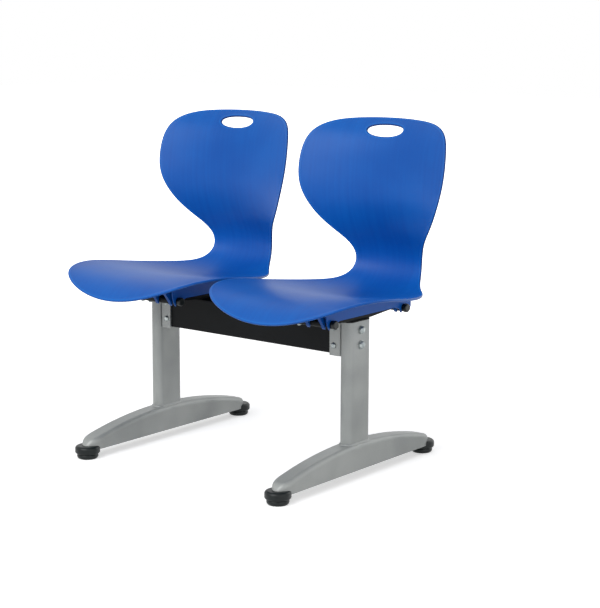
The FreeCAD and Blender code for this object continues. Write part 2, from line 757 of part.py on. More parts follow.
def glide_stem(side, place):
    """Screw stem: disc held in the pad, hexagonal collar above it, threaded rod up into the foot."""
    stem = rod(stem_radius, vec(0, 0, socket_floor), axis_z, stem_top_z - socket_floor)
    stem = stem.fuse(rod(disc_radius, vec(0, 0, socket_floor), axis_z, disc_height))
    stem = stem.fuse(hexagon(collar_across_flats, collar_height, vec(0, 0, pad_height + run_gap), axis_z))
    tip = [e for e in stem.Edges if abs(e.BoundBox.ZMin - stem_top_z) < 0.01]
    stem = stem.makeChamfer(1.0, tip)
    stem.translate(vec(leg_x[side], glide_y[place], 0))
    return stem


def save(name, shape):
    shape.exportStep("parts/" + name + ".step")


os.makedirs("parts", exist_ok=True)
save("beam", beam())
shell = seat_shell()
for side in ("left", "right"):
    x = seat_x[side]
    save("seat_shell_" + side, shell.translated(vec(x, 0, 0)))
    save("arm_bolts_" + side, arm_bolts(x))
    save("arm_nuts_" + side, arm_nuts(side))
    save("shell_screws_" + side, shell_screws(x))
    for place in ("front", "rear"):
        save("cross_tube_" + place + "_" + side, cross_tube(x, place))
        for end in ("left", "right"):
            save("tube_cap_" + place + "_" + side + "_" + end, tube_cap(x, place, end))
        save("toe_cap_" + place + "_" + side, toe_cap(side, place))
        save("glide_pad_" + place + "_" + side, glide_pad(side, place))
        save("glide_stem_" + place + "_" + side, glide_stem(side, place))
    for end in ("left", "right"):
        save("seat_arm_" + side + "_" + end, seat_arm(x, end))
    save("beam_bracket_" + side, beam_bracket(side))
    save("beam_bolts_" + side, beam_bolts(side))
    save("beam_nuts_" + side, beam_nuts(side))
    save("column_" + side, column(side))
    save("column_head_" + side, column_head(side))
    save("column_bolts_" + side, column_bolts(side))
    save("column_washers_" + side, column_washers(side))
    save("column_nuts_" + side, column_nuts(side))
    save("foot_" + side, foot(side))
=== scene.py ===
import bmesh
import bpy
import json
import math
import numpy as np
from mathutils import Matrix, Vector


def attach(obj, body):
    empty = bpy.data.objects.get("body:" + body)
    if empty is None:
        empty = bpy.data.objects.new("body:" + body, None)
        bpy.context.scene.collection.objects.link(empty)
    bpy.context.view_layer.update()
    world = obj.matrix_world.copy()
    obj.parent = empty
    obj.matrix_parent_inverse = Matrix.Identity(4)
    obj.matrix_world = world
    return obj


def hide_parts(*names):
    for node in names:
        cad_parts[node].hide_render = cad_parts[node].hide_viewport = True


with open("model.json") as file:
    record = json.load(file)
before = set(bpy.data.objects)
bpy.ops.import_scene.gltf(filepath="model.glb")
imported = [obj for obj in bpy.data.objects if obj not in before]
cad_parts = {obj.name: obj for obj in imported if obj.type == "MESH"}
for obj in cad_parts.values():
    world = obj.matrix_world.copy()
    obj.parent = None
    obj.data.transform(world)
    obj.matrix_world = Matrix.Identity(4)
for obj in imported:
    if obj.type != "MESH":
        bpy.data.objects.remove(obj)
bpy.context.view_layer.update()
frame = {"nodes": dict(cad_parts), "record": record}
print("frame loaded:", len(frame["nodes"]), "nodes")

view = {"azimuth": 38.38, "pitch": 10.22, "roll": 0.23, "at": (2.4065, -2.8725, 1.0401), "focal": 1621.7,
        "picture": (600, 608)}


def makeCamera():
    data = bpy.data.cameras.new("camera")
    data.sensor_width = 36.0
    data.lens = view["focal"] * data.sensor_width / max(view["picture"])
    camera = bpy.data.objects.new("camera", data)
    turn = Matrix.Rotation(math.radians(view["azimuth"]), 4, "Z")
    tip = Matrix.Rotation(math.radians(90 - view["pitch"]), 4, "X")
    roll = Matrix.Rotation(math.radians(view["roll"]), 4, "Z")
    camera.matrix_world = Matrix.Translation(view["at"]) @ turn @ tip @ roll
    bpy.context.scene.collection.objects.link(camera)
    bpy.context.scene.camera = camera


makeCamera()


# A socket of a shader graph. Operators on it add Math nodes, so masks read as sums and products.
class Wire:
    def __init__(self, graph, socket):
        self.graph = graph
        self.socket = socket

    def math(self, operation, first, second=None):
        return self.graph.node("ShaderNodeMath", {"operation": operation}, {0: first, 1: second})

    def __add__(self, other):
        return self.math("ADD", self, other)

    def __radd__(self, other):
        return self.math("ADD", other, self)

    def __sub__(self, other):
        return self.math("SUBTRACT", self, other)

    def __rsub__(self, other):
        return self.math("SUBTRACT", other, self)

    def __mul__(self, other):
        return self.math("MULTIPLY", self, other)

    def __rmul__(self, other):
        return self.math("MULTIPLY", other, self)

    def __gt__(self, other):
        return self.math("GREATER_THAN", self, other)

    # 0 below low, 1 above high, smooth between
    def step(self, low, high):
        return self.graph.node("ShaderNodeMapRange", {"interpolation_type": "SMOOTHSTEP"},
                               {"Value": self, "From Min": low, "From Max": high})


# A material's node tree. node() takes a type, its settings, then the values or wires of its sockets.
class Graph:
    def __init__(self, tree):
        self.tree = tree
        tree.nodes.clear()

    def node(self, kind, settings=None, sockets=None, out=0):
        made = self.tree.nodes.new(kind)
        for name, value in (settings or {}).items():
            setattr(made, name, value)
        for key, value in (sockets or {}).items():
            if isinstance(value, Wire):
                self.tree.links.new(value.socket, made.inputs[key])
            elif value is not None:
                made.inputs[key].default_value = value
        return Wire(self, made.outputs[out]) if len(made.outputs) else None

    def place(self, scale=(1, 1, 1)):
        where = self.node("ShaderNodeTexCoord", out="Object")
        return self.node("ShaderNodeMapping", {}, {"Vector": where, "Scale": scale})

    # across and along a shell, in metres, from its own map
    def flow(self, scale=(1, 1, 1)):
        where = self.node("ShaderNodeUVMap", {"uv_map": "flow"})
        return self.node("ShaderNodeMapping", {}, {"Vector": where, "Scale": scale})

    def noise(self, where, scale, detail=2.0, roughness=0.5):
        return self.node("ShaderNodeTexNoise", {}, {"Vector": where, "Scale": scale, "Detail": detail,
                                                    "Roughness": roughness}, out="Fac")

    def blend(self, factor, first, second):
        return self.node("ShaderNodeMix", {"data_type": "RGBA"}, {0: factor, 6: first, 7: second}, out=2)

    def bump(self, height, strength, distance):
        return self.node("ShaderNodeBump", {}, {"Height": height, "Strength": strength, "Distance": distance})

    def surface(self, **sockets):
        named = {key.replace("_", " "): value for key, value in sockets.items()}
        shader = self.node("ShaderNodeBsdfPrincipled", {}, named)
        self.node("ShaderNodeOutputMaterial", {}, {"Surface": shader})


def newMaterial(name):
    material = bpy.data.materials.new(name)
    material.use_nodes = True
    return material, Graph(material.node_tree)


def colour(red, green, blue):
    # screen values 0 to 255 to linear light
    parts = [value / 255 for value in (red, green, blue)]
    return tuple(p / 12.92 if p <= 0.04045 else ((p + 0.055) / 1.055) ** 2.4 for p in parts) + (1.0,)


# Moulded blue polypropylene: spark-eroded grain, flow streaks that follow the shell, a painted highlight band
# inside the rim that is also a little glossier, and painted shade on the rounded edges of the back. Distances
# from the rim and along the shell are in metres.
shellFinish = {"tone": colour(0, 81, 169), "lightTone": colour(4, 93, 182), "contrast": (0.3, 0.7),
               # painted highlight: the lighter band tone and its share, about 2 to 7 mm inside the rim
               "highlightBandTone": colour(20, 110, 198), "highlightBandShare": 0.5, "highlightBandStart": (0.0020, 0.0034),
               # painted shade: the dark navy tone and its share darken the rounded edges of the back and the
               # hand hole
               "highlightBandEnd": (0.0046, 0.0070), "rimShadeTone": colour(0, 50, 116), "rimShadeShare": 0.85,
               "rim": (0.0008, 0.0026), "back": (0.30, 0.45), "driftScale": 6.0,
               "streakScale": (110.0, 2.5, 1.0), "streakShare": 0.3, "grainScale": 2400.0,
               "grainStrength": 0.35, "grainDepth": 0.00004, "roughness": 0.42, "streakRoughness": 0.07,
               "grainRoughness": 0.08, "highlightBandPolish": 0.06, "gloss": 0.24}


def bluePolypropylene():
    look = shellFinish
    material, graph = newMaterial("bluePolypropylene")
    where = graph.place()
    drift = graph.noise(where, look["driftScale"], 3.0)
    streak = graph.noise(graph.flow(look["streakScale"]), 1.0, 2.0)
    grain = graph.noise(where, look["grainScale"], 1.0, 0.6)
    edge = graph.node("ShaderNodeAttribute", {"attribute_name": "edge"}, out="Fac")
    up = graph.node("ShaderNodeSeparateXYZ", {}, {0: graph.flow()}, out="Y")
    # painted highlight: a lighter band about 2 to 7 mm inside the rim, where the surface is also a little
    # glossier
    highlightAndPolishBand = edge.step(*look["highlightBandStart"]) - edge.step(*look["highlightBandEnd"])
    # painted shade: the rounded rim and hand-hole edge, on the back only, are darkened towards navy
    rim = (1 - edge.step(*look["rim"])) * up.step(*look["back"])
    tone = (drift * (1 - look["streakShare"]) + streak * look["streakShare"]).step(*look["contrast"])
    base = graph.blend(tone, look["tone"], look["lightTone"])
    base = graph.blend(highlightAndPolishBand * look["highlightBandShare"], base, look["highlightBandTone"])
    base = graph.blend(rim * look["rimShadeShare"], base, look["rimShadeTone"])
    rough = look["roughness"] + (streak - 0.5) * look["streakRoughness"]
    rough = rough + (grain - 0.5) * look["grainRoughness"] - highlightAndPolishBand * look["highlightBandPolish"]
    graph.surface(Base_Color=base, Roughness=rough, Specular_IOR_Level=look["gloss"],
                  Normal=graph.bump(grain, look["grainStrength"], look["grainDepth"]))
    return material


# Silver-grey powder coat: orange peel, and tiny flakes that change the tone from grain to grain
greyFinish = {"tone": colour(167, 170, 168), "darkTone": colour(140, 144, 143), "contrast": (0.35, 0.65),
              "flakeScale": 2600.0, "driftScale": 9.0, "peelScale": 420.0, "peelStrength": 0.25,
              "peelDepth": 0.0002, "roughness": 0.42, "flakeRoughness": 0.15, "metallic": 0.25}


def greyPowderCoat():
    look = greyFinish
    material, graph = newMaterial("greyPowderCoat")
    where = graph.place()
    peel = graph.noise(where, look["peelScale"], 2.0)
    flake = graph.noise(where, look["flakeScale"], 1.0)
    drift = graph.noise(where, look["driftScale"], 2.0)
    tone = (flake * 0.5 + drift * 0.5).step(*look["contrast"])
    graph.surface(Base_Color=graph.blend(tone, look["darkTone"], look["tone"]), Metallic=look["metallic"],
                  Roughness=look["roughness"] + (flake - 0.5) * look["flakeRoughness"],
                  Normal=graph.bump(peel, look["peelStrength"], look["peelDepth"]))
    return material


# Fine black powder coat of the beam and tubes
blackFinish = {"tone": colour(7, 9, 11), "lightTone": colour(14, 17, 19), "contrast": (0.35, 0.7),
               "grainScale": 700.0, "grainShare": 0.6, "grainStrength": 0.3, "grainDepth": 0.0002,
               "driftScale": 14.0, "roughness": 0.55, "grainRoughness": 0.2, "gloss": 0.12}


def blackPowderCoat():
    look = blackFinish
    material, graph = newMaterial("blackPowderCoat")
    where = graph.place()
    grain = graph.noise(where, look["grainScale"], 2.0, 0.6)
    drift = graph.noise(where, look["driftScale"], 3.0)
    tone = (grain * look["grainShare"] + drift * (1 - look["grainShare"])).step(*look["contrast"])
    graph.surface(Base_Color=graph.blend(tone, look["tone"], look["lightTone"]),
                  Roughness=look["roughness"] + (grain - 0.5) * look["grainRoughness"],
                  Specular_IOR_Level=look["gloss"],
                  Normal=graph.bump(grain, look["grainStrength"], look["grainDepth"]))
    return material


# Moulded black plastic of the toe caps, pads and end caps
capFinish = {"tone": colour(8, 15, 16), "lightTone": colour(18, 27, 27), "contrast": (0.3, 0.7),
             "grainScale": 1500.0, "grainStrength": 0.3, "grainDepth": 0.0001, "driftScale": 30.0,
             "roughness": 0.36, "grainRoughness": 0.2, "gloss": 0.3}


def blackPlastic():
    look = capFinish
    material, graph = newMaterial("blackPlastic")
    where = graph.place()
    grain = graph.noise(where, look["grainScale"], 2.0, 0.6)
    drift = graph.noise(where, look["driftScale"], 2.0)
    graph.surface(Base_Color=graph.blend(drift.step(*look["contrast"]), look["tone"], look["lightTone"]),
                  Roughness=look["roughness"] + (grain - 0.5) * look["grainRoughness"],
                  Specular_IOR_Level=look["gloss"],
                  Normal=graph.bump(grain, look["grainStrength"], look["grainDepth"]))
    return material


# Bright zinc plate of the fasteners and levelling screws
zincFinish = {"tone": colour(176, 182, 181), "darkTone": colour(128, 136, 137), "contrast": (0.35, 0.65),
              "cloudScale": 160.0, "brushScale": 2400.0, "brushStrength": 0.2, "brushDepth": 0.00005,
              "roughness": 0.42, "cloudRoughness": 0.25, "metallic": 0.9}


def zincPlate():
    look = zincFinish
    material, graph = newMaterial("zincPlate")
    where = graph.place()
    cloud = graph.noise(where, look["cloudScale"], 4.0, 0.6)
    brush = graph.noise(where, look["brushScale"], 2.0)
    graph.surface(Base_Color=graph.blend(cloud.step(*look["contrast"]), look["darkTone"], look["tone"]),
                  Metallic=look["metallic"],
                  Roughness=look["roughness"] + (cloud - 0.5) * look["cloudRoughness"],
                  Normal=graph.bump(brush, look["brushStrength"], look["brushDepth"]))
    return material


finishes = {"shell_blue": bluePolypropylene(), "frame_grey": greyPowderCoat(),
            "beam_black": blackPowderCoat(), "cap_black": blackPlastic(), "zinc_steel": zincPlate()}
slotOf = {part["node"]: part["material_slot"] for part in frame["record"]["subparts"]}
for name, node in frame["nodes"].items():
    node.data.materials.clear()
    node.data.materials.append(finishes[slotOf[name]])
print("finishes on", len(slotOf), "nodes")


mergeGap = 2e-6   # metres


# A mesh from points in millimetres and arrays of faces, with its doubles merged
def newMesh(name, points, faceLists, marks=None, places=None):
    mesh = bpy.data.meshes.new(name)
    faces = [face for listed in faceLists for face in listed.tolist()]
    mesh.from_pydata((points / 1000).tolist(), [], faces)
    if marks is not None:
        edge = mesh.attributes.new("edge", "FLOAT", "POINT")
        edge.data.foreach_set("value", (marks / 1000).astype(np.float32))
        corners = np.empty(len(mesh.loops), np.int32)
        mesh.loops.foreach_get("vertex_index", corners)
        flow = mesh.uv_layers.new(name="flow")
        flow.uv.foreach_set("vector", (places[corners] / 1000).astype(np.float32).ravel())
    work = bmesh.new()
    work.from_mesh(mesh)
    bmesh.ops.remove_doubles(work, verts=work.verts, dist=mergeGap)
    work.to_mesh(mesh)
    work.free()
    return mesh


# One closed mesh that holds both
def unite(first, second):
    held = [bpy.data.objects.new(mesh.name, mesh) for mesh in (first, second)]
    for part in held:
        bpy.context.scene.collection.objects.link(part)
    join = held[0].modifiers.new("join", "BOOLEAN")
    join.operation, join.solver, join.object = "UNION", "EXACT", held[1]
    depsgraph = bpy.context.evaluated_depsgraph_get()
    whole = bpy.data.meshes.new_from_object(held[0].evaluated_get(depsgraph))
    for part in held:
        bpy.data.objects.remove(part)
    return whole


# A piece of the object: smooth up to the given angle, in its finish, on its body
def makePiece(name, slot, body, mesh, angle):
    mesh.name = name
    mesh.shade_smooth()
    mesh.set_sharp_from_angle(angle=math.radians(angle))
    mesh.materials.append(finishes[slot])
    piece = bpy.data.objects.new(name, mesh)
    bpy.context.scene.collection.objects.link(piece)
    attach(piece, body)
    return piece


# The two blue shells, in millimetres. profile holds the middle line's depth and height above the floor and
# how far the surface rises towards the sides. outline holds the way along it and the half width. clips holds
# what marks off the clip box: its half width, middle and half depth in plan, the profile knots that bound the
# search for the skin over it, how deep it sinks into the skin, the gaps below the skin at which a steep or a
# flat triangle still counts, and how its closing faces are cut up.
shellShape = {
    "seatX": {"left": -225.0, "right": 225.0}, "thickness": 6.0, "rimRadius": 2.6, "bowlReference": 215.0,
    "holeHalfWidth": 50.0, "holeHalfHeight": 16.6, "holeBelowTop": 40.0, "holePower": 2.1,
    "panelSink": 0.45, "borderWidth": 6.5, "borderBlend": 3.0,
    "columns": 44, "crowding": 1.6, "rows": 250, "holeRows": 40, "rimSteps": 5, "smoothAngle": 32.0,
    "profile": [(-277, 367, 2), (-269, 384, 2), (-232, 416, 6), (-165, 430, 9), (-60, 422, 12),
                (50, 402.5, 22), (125, 395.5, 36), (185, 408, 48), (221, 443, 57), (224, 483, 62),
                (197, 541, 63), (174.5, 608, 55), (173, 685, 45), (190, 762, 34), (224, 800.5, 26),
                (240, 812, 24)],
    "outline": [(0, 0), (22, 112), (70, 182), (150, 214), (250, 214.5), (345, 194), (430, 149), (500, 103),
                (550, 95), (600, 112), (660, 156), (730, 198), (790, 205), (845, 189), (876, 153), (900, 82),
                (908, 0)],
    "clips": {"halfWidth": 105.0, "middleY": -7.5, "halfDepth": 177.5, "firstKnot": 2, "lastKnot": 8,
              "sunk": 1.5, "steepShare": 0.5, "steepGap": 0.02, "flatGap": 0.5, "longestEdge": 20.0,
              "cuts": 9, "mark": 20.0}}


# Slopes of the smoothest cubic curve through values at knots: each inner knot keeps the second derivative
# continuous. A closed curve joins up; an open one starts and ends as the cubic through its 4 end points does.
def splineSlopes(knots, values, closed=False):
    gaps = np.diff(knots)
    count = len(knots)
    rises = np.diff(values, axis=0) / gaps[:, None]
    if closed:
        matrix = np.zeros((count - 1, count - 1))
        right = np.zeros((count - 1, values.shape[1]))
        for i in range(count - 1):
            before, after = gaps[i - 1], gaps[i]
            matrix[i, i] = 2 * (before + after)
            matrix[i, i - 1] += after
            matrix[i, (i + 1) % (count - 1)] += before
            right[i] = 3 * (after * rises[i - 1] + before * rises[i])
        slopes = np.linalg.solve(matrix, right)
        return np.vstack([slopes, slopes[:1]])
    matrix = np.eye(count)
    right = np.zeros_like(values)
    for i in range(1, count - 1):
        before, after = gaps[i - 1], gaps[i]
        matrix[i, i - 1:i + 2] = after, 2 * (before + after), before
        right[i] = 3 * (after * rises[i - 1] + before * rises[i])
    for end, picked in ((0, slice(0, 4)), (count - 1, slice(count - 4, count))):
        cubic = np.polyfit(knots[picked] - knots[end], values[picked], 3)
        right[end] = cubic[2]
    return np.linalg.solve(matrix, right)


# Value of that curve at any place: the Hermite cubic between the two knots around it
def splineAt(knots, values, slopes, where):
    flat = np.ravel(where)
    i = np.clip(np.searchsorted(knots, flat, side="right") - 1, 0, len(knots) - 2)
    gap = (knots[i + 1] - knots[i])[:, None]
    t = (flat - knots[i])[:, None] / gap
    result = ((2 * t ** 3 - 3 * t ** 2 + 1) * values[i] + (t ** 3 - 2 * t ** 2 + t) * gap * slopes[i]
              + (3 * t ** 2 - 2 * t ** 3) * values[i + 1] + (t ** 3 - t ** 2) * gap * slopes[i + 1])
    return result.reshape(np.shape(where) + (values.shape[1],))


# The curves of a shell: middle line, its normal, and the normal times the rise, all by way along the line
class ShellCurves:
    def __init__(self, shape):
        profile = np.array(shape["profile"], float)
        points = profile[:, :2]
        steps = np.linalg.norm(np.diff(points, axis=0), axis=1)
        self.way = np.concatenate([[0.0], np.cumsum(steps)])
        slopes = splineSlopes(self.way, points)
        along = slopes / np.linalg.norm(slopes, axis=1)[:, None]
        normals = np.stack([-along[:, 1], along[:, 0]], 1)
        self.tracks = []
        for values in (points, normals, normals * profile[:, 2:3]):
            self.tracks.append((values, splineSlopes(self.way, values)))
        self.start, self.end = self.way[1], self.way[-2]
        self.reference = shape["bowlReference"]

    # point at way s, side x and depth d = middle(s) - d * normal(s) + rise(s) * (x / reference)^2
    def point(self, s, x, depth):
        middle, normal, rise = (splineAt(self.way, values, slopes, s) for values, slopes in self.tracks)
        share = (np.asarray(x) / self.reference) ** 2
        yz = middle - normal * np.asarray(depth)[..., None] + rise * share[..., None]
        return np.concatenate([np.broadcast_to(x, yz.shape[:-1])[..., None], yz], -1)


# Right half of a closed outline from bottom to top: the spline through the half points and their mirror
# images, sampled evenly along its length
def halfOutline(half, count, fineSteps=6000):
    points = np.array(half + [(s, -x) for s, x in half[-2:0:-1]] + half[:1], float)
    knots = np.concatenate([[0.0], np.cumsum(np.linalg.norm(np.diff(points, axis=0), axis=1))])
    slopes = splineSlopes(knots, points, closed=True)
    dense = splineAt(knots, points, slopes, np.linspace(0, knots[len(half) - 1], fineSteps))
    run = np.concatenate([[0.0], np.cumsum(np.linalg.norm(np.diff(dense, axis=0), axis=1))])
    even = np.linspace(0, run[-1], count)
    return np.stack([np.interp(even, run, dense[:, 0]), np.interp(even, run, dense[:, 1])], 1)


# Outward unit normals of a half outline in its own plane; its ends lie on the middle line
def outlineNormals(line):
    along = np.gradient(line, axis=0)
    along[0] = (0, 1)
    along[-1] = (0, -1)
    along /= np.linalg.norm(along, axis=1)[:, None]
    return np.stack([-along[:, 1], along[:, 0]], 1)


# Half of the hand hole: way = middle + height * sin(t) * k, side = width * cos(t) * k, k the superellipse's
def holeOutline(shape, middle):
    turns = np.radians(np.linspace(-90, 90, shape["holeRows"]))
    up, out = np.sin(turns), np.cos(turns).clip(0)
    swell = (np.abs(up) ** shape["holePower"] + out ** shape["holePower"]) ** (-1 / shape["holePower"])
    return np.stack([middle + shape["holeHalfHeight"] * up * swell, shape["holeHalfWidth"] * out * swell], 1)


# Joins grids of points into one list of points and quads. Quads turn the other way round if flipped.
class Net:
    def __init__(self):
        self.points, self.faces, self.marks, self.places, self.count = [], [], [], [], 0

    def grid(self, points, marks, places, flip):
        rows, columns = points.shape[:2]
        index = self.count + np.arange(rows * columns).reshape(rows, columns)
        corners = [index[:-1, :-1], index[1:, :-1], index[1:, 1:], index[:-1, 1:]]
        if flip:
            corners.reverse()
        self.faces.append(np.stack(corners, -1).reshape(-1, 4))
        self.points.append(points.reshape(-1, 3))
        self.marks.append(np.broadcast_to(marks, (rows, columns)).ravel())
        self.places.append(places.reshape(-1, 2))
        self.count += rows * columns


# Distance in the opened-out plane from each place to the nearest point of the edges, in parts to save memory
def distanceTo(along, sides, edges, parts=40):
    spots = np.stack([along, sides], -1).reshape(-1, 1, 2)
    near = [np.sqrt(((part - edges) ** 2).sum(-1)).min(1) for part in np.array_split(spots, parts)]
    return np.concatenate(near).reshape(sides.shape)


# Skin of one shell about x = 0. Rows follow the way along the profile, and columns run from the middle, or
# the hand hole, to the rim. Each row has two mirrored halves, and rounded strips close the rim and the hole.
def shellSkin(shape, curves):
    radius, thickness = shape["rimRadius"], shape["thickness"]
    stretch = (curves.end - curves.start) / shape["outline"][-1][0]
    rim = halfOutline([(curves.start + s * stretch, x) for s, x in shape["outline"]], shape["rows"])
    hole = holeOutline(shape, curves.end - shape["holeBelowTop"])
    rimNormals, holeNormals = outlineNormals(rim), outlineNormals(hole)
    rimIn = (rim - radius * rimNormals).round(7)
    holeOut = (hole + radius * holeNormals).round(7)
    ways = np.unique(np.concatenate([rimIn[:, 0], holeOut[:, 0]]))
    outer = np.interp(ways, rimIn[:, 0], rimIn[:, 1])
    inner = np.interp(ways, holeOut[:, 0], holeOut[:, 1], left=0, right=0)
    share = 1 - (1 - np.linspace(0, 1, shape["columns"])) ** shape["crowding"]   # columns crowd near the rim
    sides = inner[:, None] + (outer - inner)[:, None] * share
    along = np.broadcast_to(ways[:, None], sides.shape)
    edge = distanceTo(along, sides, np.concatenate([rim, hole]))
    blend = ((edge - shape["borderWidth"]) / shape["borderBlend"]).clip(0, 1)
    sink = shape["panelSink"] * blend ** 2 * (3 - 2 * blend)   # the panel inside the border lies lower
    net = Net()

    def add(way, side, depth, marks, flip):
        for mirror in (1, -1):
            points = curves.point(way, side, depth)
            points[..., 0] *= mirror
            net.grid(points, marks, np.stack([mirror * side, way], -1), flip if mirror == 1 else not flip)

    add(along, sides, sink, edge, True)
    add(along, sides, np.full(sides.shape, thickness), edge, False)
    # quarter circle, flat wall, quarter circle: out by radius * sin(a), down by radius * (1 - cos(a))
    bend = np.linspace(0, math.pi / 2, shape["rimSteps"] + 1)
    out = radius * np.concatenate([np.sin(bend), np.sin(bend[::-1])])
    deep = radius * (1 - np.cos(bend))
    deep = np.concatenate([deep, thickness - deep[::-1]])
    inHole = (ways >= holeOut[0, 0]) & (ways <= holeOut[-1, 0])
    strips = (ways, outer, rimIn, rimNormals, 1), (ways[inHole], inner[inHole], holeOut, holeNormals, -1)
    for rows, widths, line, normals, outward in strips:
        lean = np.stack([np.interp(rows, line[:, 0], normals[:, k]) for k in (0, 1)], 1)
        lean /= np.linalg.norm(lean, axis=1)[:, None]
        stripWay = rows[:, None] + outward * lean[:, :1] * out
        stripSide = widths[:, None] + outward * lean[:, 1:] * out
        add(stripWay, stripSide, np.broadcast_to(deep, stripWay.shape), radius - out, outward == 1)
    return net


# Height of the skin at a depth, above or below each spot of the plan. The way along the skin is found by
# halving the interval again and again.
def heightOver(shape, curves, spots, depth, halvings=30):
    clips = shape["clips"]
    deep = np.full(len(spots), depth)
    low, high = (np.full(len(spots), curves.way[clips[knot]]) for knot in ("firstKnot", "lastKnot"))
    for _ in range(halvings):
        half = (low + high) / 2
        short = curves.point(half, spots[:, 0], deep)[:, 1] < spots[:, 1]
        low, high = np.where(short, half, low), np.where(short, high, half)
    return curves.point(low, spots[:, 0], deep)[:, 2]


# The clip box below a shell: the CAD node's triangles that lie under the skin, merged, their upper edge sunk
# into the skin and closed there. The closing faces are cut up and follow the skin inside its thickness.
def clipBox(node, shape, curves, seatX):
    clips = shape["clips"]
    raw = np.empty(len(node.data.vertices) * 3)
    node.data.vertices.foreach_get("co", raw)
    points = (raw.reshape(-1, 3) * 1000 - (seatX, 0, 0)).round(3)
    points, same = np.unique(points, axis=0, return_inverse=True)
    corners = np.empty(len(node.data.loops), np.int32)
    node.data.loops.foreach_get("vertex_index", corners)
    triangles = same.ravel()[corners].reshape(-1, 3)
    a, b, c = triangles.T
    triangles = triangles[(a != b) & (b != c) & (a != c)]
    spots = points[triangles]
    middle = spots.mean(1)
    normal = np.cross(spots[:, 1] - spots[:, 0], spots[:, 2] - spots[:, 0])
    steep = np.abs(normal[:, 2]) < clips["steepShare"] * np.linalg.norm(normal, axis=1)
    skinZ = heightOver(shape, curves, middle, shape["thickness"])
    under = middle[:, 2] < skinZ - np.where(steep, clips["steepGap"], clips["flatGap"])
    under &= np.abs(middle[:, 0]) < clips["halfWidth"]
    under &= np.abs(middle[:, 1] - clips["middleY"]) < clips["halfDepth"]
    used, triangles = np.unique(triangles[under], return_inverse=True)
    points, triangles = points[used], triangles.reshape(-1, 3)
    pairs = np.concatenate([triangles[:, [0, 1]], triangles[:, [1, 2]], triangles[:, [2, 0]]])
    found, times = np.unique(np.sort(pairs, axis=1), axis=0, return_counts=True)
    points[np.unique(found[times == 1]), 2] += clips["sunk"]
    marks = np.full(len(points), clips["mark"])
    mesh = newMesh("clipBox", points + (seatX, 0, 0), [triangles], marks, points[:, :2])
    work = bmesh.new()
    work.from_mesh(mesh)
    edges = [edge for edge in work.edges if edge.is_boundary]
    old = len(work.verts)
    lid = bmesh.ops.triangle_fill(work, edges=edges, use_beauty=True, normal=(0, 0, 1))["geom"]
    chords = [part for part in lid if isinstance(part, bmesh.types.BMEdge)]
    chords = [edge for edge in chords if edge.calc_length() * 1000 > clips["longestEdge"]]
    bmesh.ops.subdivide_edges(work, edges=chords, cuts=clips["cuts"])
    work.verts.ensure_lookup_table()
    added = work.verts[old:]
    spots = np.array([point.co for point in added]) * 1000 - (seatX, 0, 0)
    for point, z in zip(added, heightOver(shape, curves, spots, shape["thickness"] - clips["sunk"])):
        point.co.z = z / 1000
    bmesh.ops.recalc_face_normals(work, faces=work.faces)
    work.to_mesh(mesh)
    work.free()
    return mesh


def makeShells():
    curves = ShellCurves(shellShape)
    net = shellSkin(shellShape, curves)
    for side, seatX in shellShape["seatX"].items():
        points = np.concatenate(net.points) + (seatX, 0, 0)
        marks, places = np.concatenate(net.marks), np.concatenate(net.places)
        skin = newMesh("skin", points, net.faces, marks, places)
        box = clipBox(frame["nodes"]["seat_shell_" + side], shellShape, curves, seatX)
        whole = unite(skin, box)
        shell = makePiece("shell_" + side, "shell_blue", "frame", whole, shellShape["smoothAngle"])
        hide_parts("seat_shell_" + side)


makeShells()
print("shells made")


# The levelling screws, in millimetres: a disc in the pad, a hexagonal collar and a right-hand thread
stemShape = {"legX": {"left": -290.0, "right": 290.0}, "glideY": {"front": -274.0, "rear": 274.0},
             "base": 5.0, "discRadius": 8.0, "discTop": 8.0, "radius": 5.0, "collarBase": 12.05,
             "collarTop": 16.05, "collarFlats": 14.0, "threadBase": 17.0, "top": 36.0, "chamfer": 1.0,
             "pitch": 1.5, "threadDepth": 0.46, "columns": 72, "threadRows": 8, "smoothAngle": 40.0}


# Radius at angle a and height z. Thread: radius - depth * |2 * frac(z / pitch - a / circle) - 1|, so that it
# climbs by one pitch in each turn. Collar: half the flats / cos(angle from the middle of a flat).
def stemPoints(shape):
    angle = np.linspace(0, 2 * math.pi, shape["columns"] + 1)
    low, top, tip = shape["threadBase"], shape["top"], shape["radius"] - shape["chamfer"]
    root = shape["radius"] - shape["threadDepth"]
    face = math.pi / 3   # a flat of the hexagon takes this much of the turn
    flats = shape["collarFlats"] / 2 / np.cos((angle + face / 2) % face - face / 2)
    z = np.arange(low, top, shape["pitch"] / shape["threadRows"])[:, None]
    wave = np.abs(2 * ((z / shape["pitch"] - angle / (2 * math.pi)) % 1) - 1)
    fade = np.minimum(1.0, (z - low) / shape["pitch"])   # the thread runs out at its lower end
    crest = np.minimum(root + shape["threadDepth"] * (1 - wave) * fade, tip + top - z)
    below = [(shape["base"], 0.0), (shape["base"], shape["discRadius"]),
             (shape["discTop"], shape["discRadius"]), (shape["discTop"], shape["radius"]),
             (shape["collarBase"], shape["radius"]), (shape["collarBase"], flats),
             (shape["collarTop"], flats), (shape["collarTop"], root)]
    above = [(top, tip), (top, 0.0)]
    heights = np.concatenate([[height for height, _ in below], z[:, 0], [height for height, _ in above]])
    belowRadii, aboveRadii = ([radius + 0 * angle for _, radius in part] for part in (below, above))
    radii = np.concatenate([belowRadii, crest, aboveRadii])
    return np.stack([radii * np.cos(angle), radii * np.sin(angle), heights[:, None] + 0 * angle], -1)


def makeStems():
    net = Net()
    points = stemPoints(stemShape)
    net.grid(points, 0.0, points[..., :2], True)
    for side, legX in stemShape["legX"].items():
        for end, glideY in stemShape["glideY"].items():
            mesh = newMesh("screw", net.points[0] + (legX, glideY, 0), net.faces)
            screw = makePiece(f"screw_{end}_{side}", "zinc_steel", f"stem_{end}_{side}", mesh,
                              stemShape["smoothAngle"])
            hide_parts(f"glide_stem_{end}_{side}")


makeStems()
print("levelling screws made")


